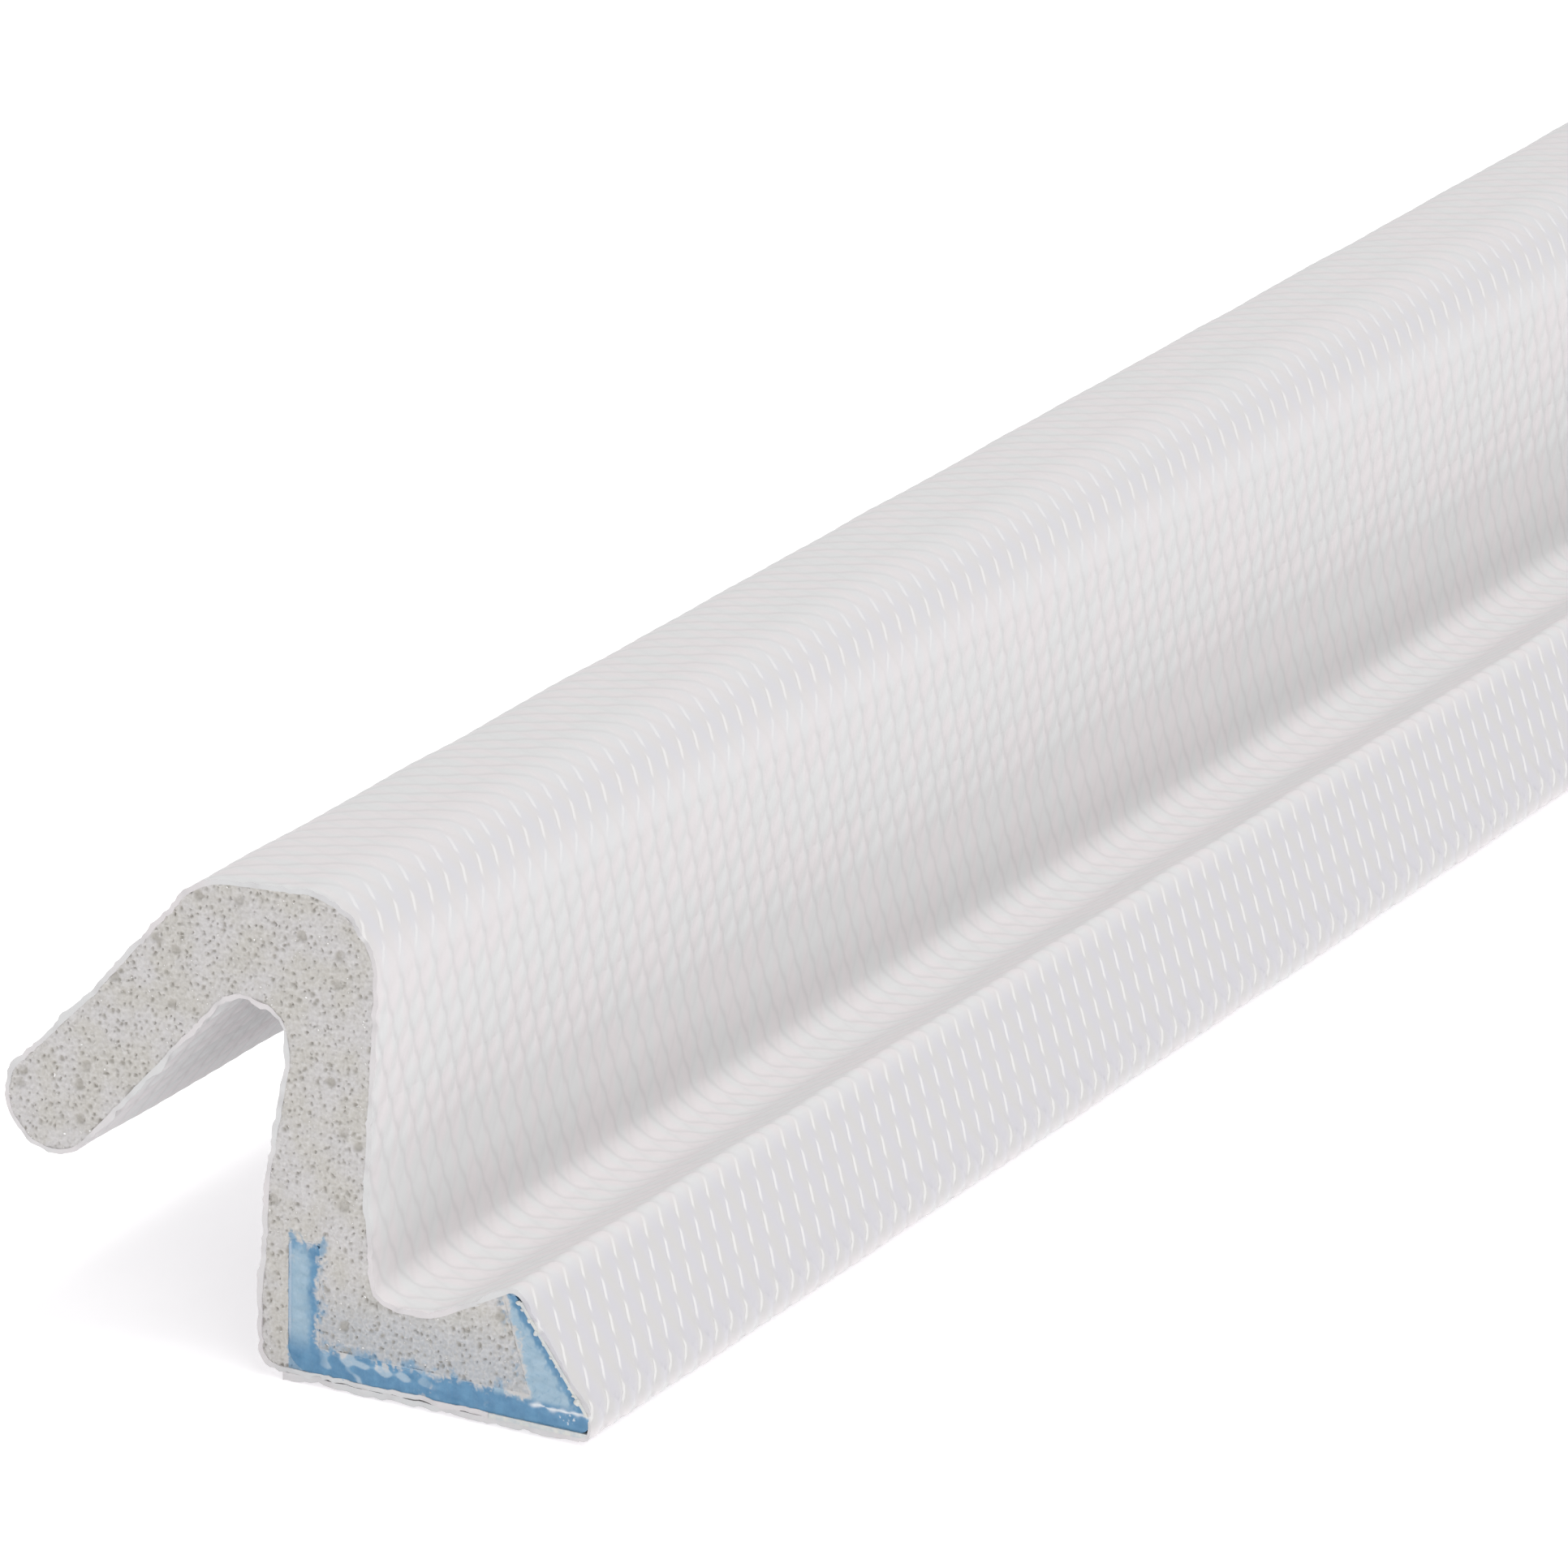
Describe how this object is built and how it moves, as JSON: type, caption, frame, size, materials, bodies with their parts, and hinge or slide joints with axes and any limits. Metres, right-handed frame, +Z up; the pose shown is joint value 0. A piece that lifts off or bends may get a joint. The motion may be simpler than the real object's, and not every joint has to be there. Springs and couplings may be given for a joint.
{
  "type": "foam door seal strip",
  "caption": "Foam-cored door seal strip with a hooked sealing lip, a flexible upright and a rigid clip-in foot, clad in textured film.",
  "frame": {"origin": "middle of the foot's underside, half way along the strip", "axes": "+Y along the strip, +Z up from the foot to the crest, +X from the heel to the toe; the sealing lip hooks towards -X"},
  "size_m": [0.0202, 0.12, 0.0154],
  "materials": {
    "stiffener_plate": "satin",
    "stiffener_leg": "satin",
    "bond": "satin",
    "foam": "matte",
    "cover_film": "satin"
  },
  "bodies": {
    "foot": {"stiffener_base_plate": "stiffener_plate", "stiffener_upright_leg": "stiffener_leg", "stiffener_flank_leg": "stiffener_leg", "flank_bond": "bond", "flap_bond": "bond", "foam_heel": "foam", "foam_toe": "foam", "cover_outer_flap": "cover_film", "cover_inner_flap": "cover_film", "cover_foot_front": "cover_film", "cover_foot_back": "cover_film"},
    "upright": {"foam_upright": "foam", "cover_upright_front": "cover_film", "cover_upright_back": "cover_film"},
    "lip": {"foam_lip": "foam", "cover_lip": "cover_film"}
  },
  "joints": [
    {"name": "upright_lean", "type": "hinge", "parent": "foot", "child": "upright", "pos_m": [-0.0037, 0, 0.0064], "axis": [0, 1, 0], "range_deg": [-12, 15], "stiffness_Nm_per_rad": 0.09},
    {"name": "lip_flex", "type": "hinge", "parent": "upright", "child": "lip", "pos_m": [-0.0067, 0, 0.01345], "axis": [0, 1, 0], "range_deg": [-36, 18], "stiffness_Nm_per_rad": 0.03}
  ]
}
